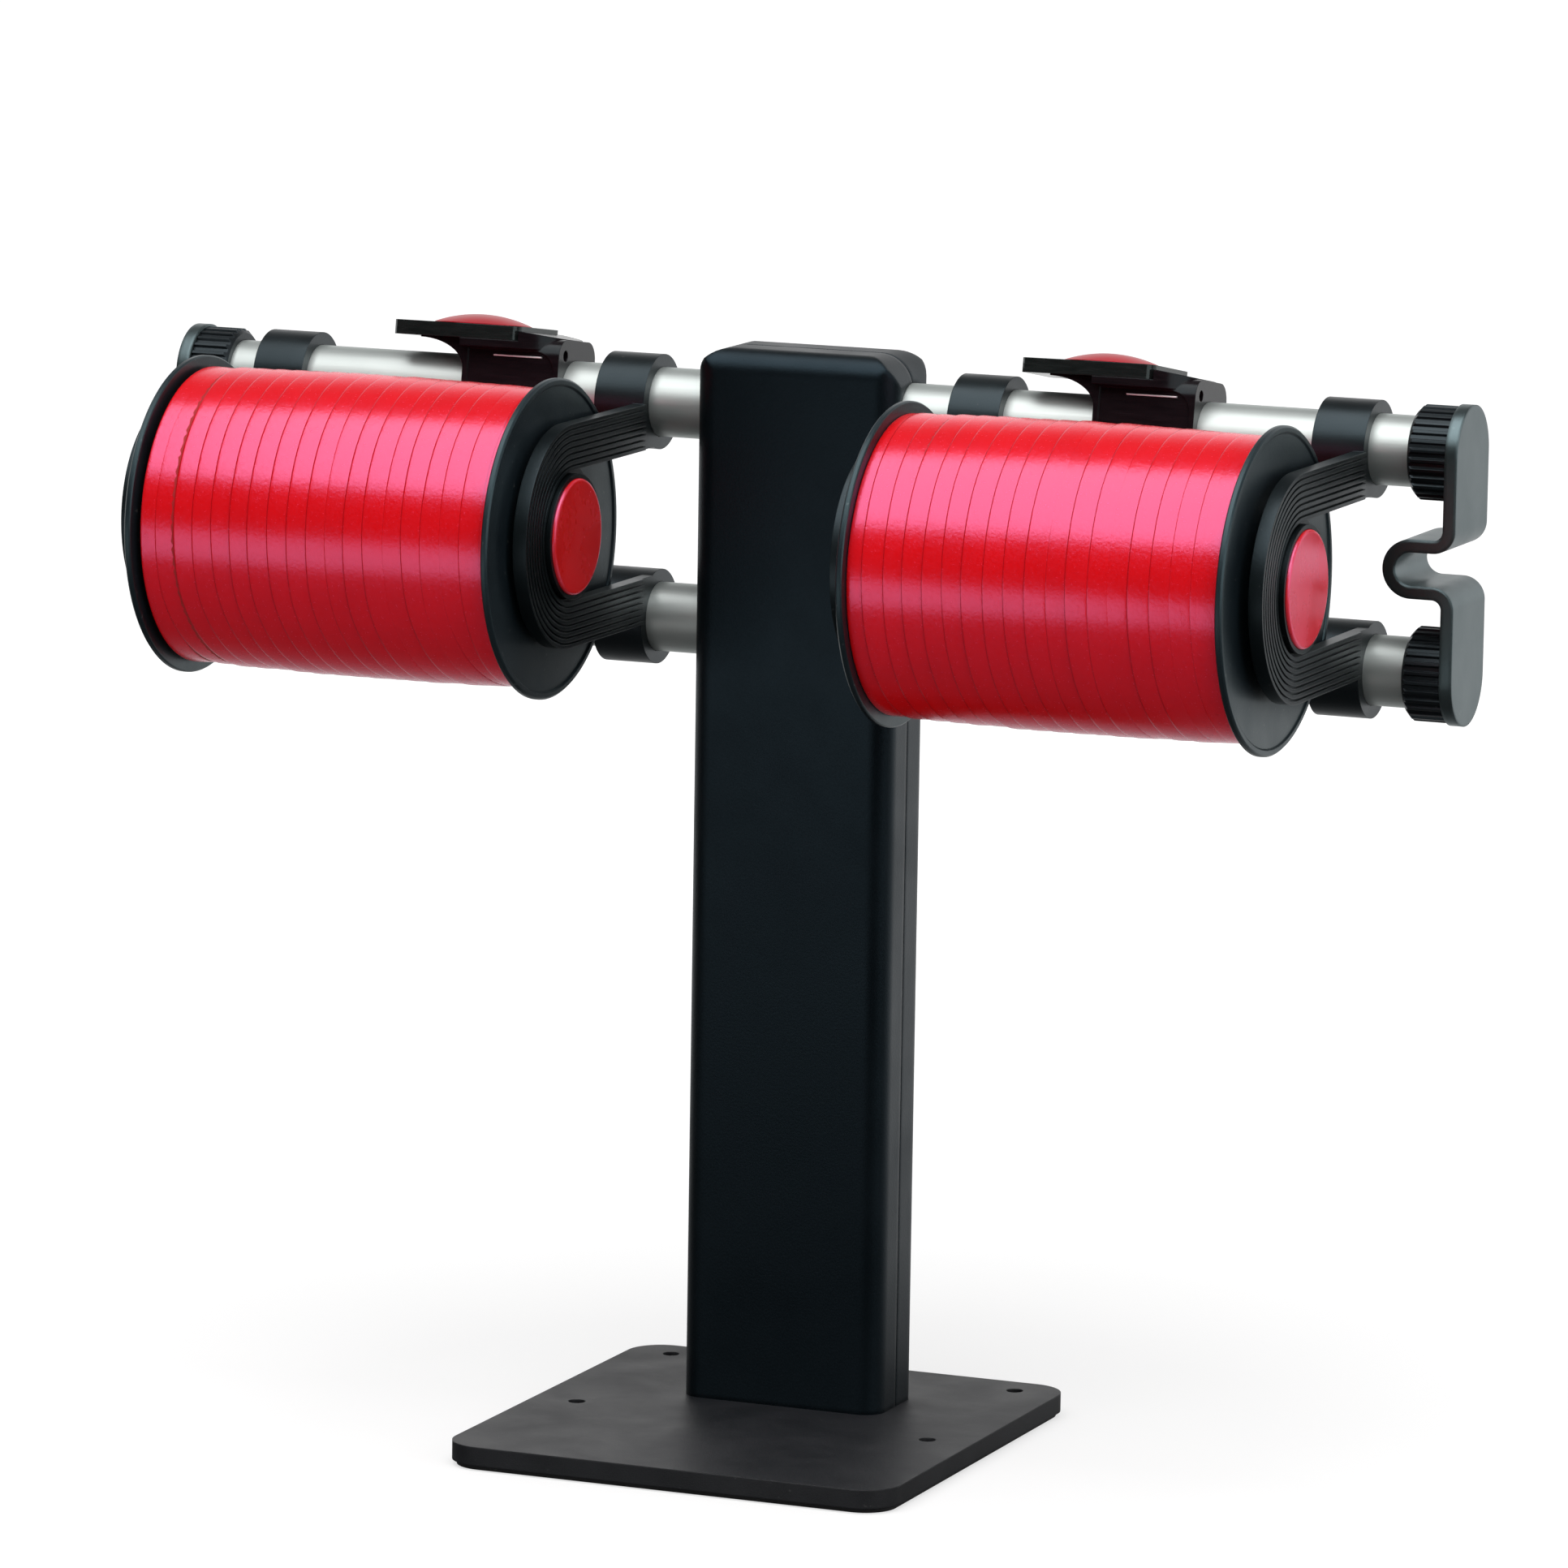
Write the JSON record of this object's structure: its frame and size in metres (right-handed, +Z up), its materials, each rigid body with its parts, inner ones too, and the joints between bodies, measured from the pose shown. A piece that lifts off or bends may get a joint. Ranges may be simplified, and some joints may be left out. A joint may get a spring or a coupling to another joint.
{
  "type": "ribbon dispenser stand",
  "caption": "Upright counter stand carrying reels of ribbon between sliding brackets on twin rails, with a sliding cutter and press button above each reel.",
  "frame": {"origin": "centre of the four counter screw holes, on the counter, on the post's axis", "axes": "X runs along the rails to the user's right, +Y away from the user, +Z up"},
  "size_m": [0.433, 0.172, 0.3485],
  "materials": {
    "mat": "matt",
    "base": "fine textured powder coat",
    "column": "satin",
    "rail_head": "as cast",
    "screws": "satin",
    "dark_screws": "satin",
    "post_shell": "fine spark-eroded grain",
    "rail": "satin anodised",
    "end_plate": "satin",
    "grip_ring": "satin",
    "bracket": "satin",
    "hub_stub": "satin",
    "red_cap": "satin",
    "reel": "satin",
    "ribbon": "satin weave",
    "smoked": "clear smoked",
    "blade": "ground",
    "red_button": "gloss"
  },
  "bodies": {
    "stand": {"base_mat": "mat", "base_plate": "base", "foot_screws": "screws", "column": "column", "rail_head": "rail_head", "head_screws": "screws", "rail_clamp_screws": "screws", "front_shell": "post_shell", "rear_shell": "post_shell", "shell_screws": "dark_screws", "upper_rail": "rail", "lower_rail": "rail", "end_plate_right": "end_plate", "end_plate_left": "end_plate"},
    "ring_right_upper": {"grip_ring_right_upper": "grip_ring"},
    "ring_right_lower": {"grip_ring_right_lower": "grip_ring"},
    "ring_left_upper": {"grip_ring_left_upper": "grip_ring"},
    "ring_left_lower": {"grip_ring_left_lower": "grip_ring"},
    "holder_right_outer": {"bracket_right_outer": "bracket", "hub_stub_right_outer": "hub_stub", "hub_screw_right_outer": "screws", "hub_cap_right_outer": "red_cap"},
    "holder_right_inner": {"bracket_right_inner": "bracket", "hub_stub_right_inner": "hub_stub", "hub_screw_right_inner": "screws", "hub_cap_right_inner": "red_cap"},
    "holder_left_inner": {"bracket_left_inner": "bracket", "hub_stub_left_inner": "hub_stub", "hub_screw_left_inner": "screws", "hub_cap_left_inner": "red_cap"},
    "holder_left_outer": {"bracket_left_outer": "bracket", "hub_stub_left_outer": "hub_stub", "hub_screw_left_outer": "screws", "hub_cap_left_outer": "red_cap"},
    "reel_right": {"reel_right": "reel", "ribbon_right": "ribbon"},
    "reel_left": {"reel_left": "reel", "ribbon_left": "ribbon"},
    "cutter_right": {"cutter_body_right": "smoked", "cutter_top_right": "smoked", "cutter_blade_right": "blade", "cutter_spring_right": "screws"},
    "button_right": {"cutter_button_right": "red_button"},
    "cutter_left": {"cutter_body_left": "smoked", "cutter_top_left": "smoked", "cutter_blade_left": "blade", "cutter_spring_left": "screws"},
    "button_left": {"cutter_button_left": "red_button"}
  },
  "joints": [
    {"name": "ring_right_upper_turn", "type": "hinge", "parent": "stand", "child": "ring_right_upper", "pos_m": [0.2078, 0, 0.32425], "axis": [1, 0, 0], "range_deg": [0, 90]},
    {"name": "ring_right_lower_turn", "type": "hinge", "parent": "stand", "child": "ring_right_lower", "pos_m": [0.2078, 0, 0.25575], "axis": [1, 0, 0], "range_deg": [0, 90]},
    {"name": "ring_left_upper_turn", "type": "hinge", "parent": "stand", "child": "ring_left_upper", "pos_m": [-0.2042, 0, 0.32425], "axis": [1, 0, 0], "range_deg": [0, 90]},
    {"name": "ring_left_lower_turn", "type": "hinge", "parent": "stand", "child": "ring_left_lower", "pos_m": [-0.2042, 0, 0.25575], "axis": [1, 0, 0], "range_deg": [0, 90]},
    {"name": "holder_right_outer_slide", "type": "slide", "parent": "stand", "child": "holder_right_outer", "axis": [1, 0, 0], "range_m": [0, 0.0125]},
    {"name": "holder_right_inner_slide", "type": "slide", "parent": "stand", "child": "holder_right_inner", "axis": [-1, 0, 0], "range_m": [0, 0.0164]},
    {"name": "holder_left_inner_slide", "type": "slide", "parent": "stand", "child": "holder_left_inner", "axis": [1, 0, 0], "range_m": [0, 0.0164]},
    {"name": "holder_left_outer_slide", "type": "slide", "parent": "stand", "child": "holder_left_outer", "axis": [-1, 0, 0], "range_m": [0, 0.0095]},
    {"name": "reel_right_spin", "type": "hinge", "parent": "holder_right_inner", "child": "reel_right", "pos_m": [0.11985, -0.072, 0.2887], "axis": [1, 0, 0], "continuous": true},
    {"name": "reel_left_spin", "type": "hinge", "parent": "holder_left_inner", "child": "reel_left", "pos_m": [-0.11845, -0.072, 0.2887], "axis": [1, 0, 0], "continuous": true},
    {"name": "cutter_right_slide", "type": "slide", "parent": "stand", "child": "cutter_right", "axis": [1, 0, 0], "range_m": [-0.0188, 0.0386]},
    {"name": "button_right_press", "type": "slide", "parent": "cutter_right", "child": "button_right", "axis": [0, -0.1736, -0.9848], "range_m": [0, 0.0016], "stiffness_N_per_m": 500, "springref_m": -0.004, "deforming": ["cutter_spring_right"]},
    {"name": "cutter_left_slide", "type": "slide", "parent": "stand", "child": "cutter_left", "axis": [1, 0, 0], "range_m": [-0.0438, 0.0131]},
    {"name": "button_left_press", "type": "slide", "parent": "cutter_left", "child": "button_left", "axis": [0, -0.1392, -0.9903], "range_m": [0, 0.0016], "stiffness_N_per_m": 500, "springref_m": -0.004, "deforming": ["cutter_spring_left"]}
  ]
}
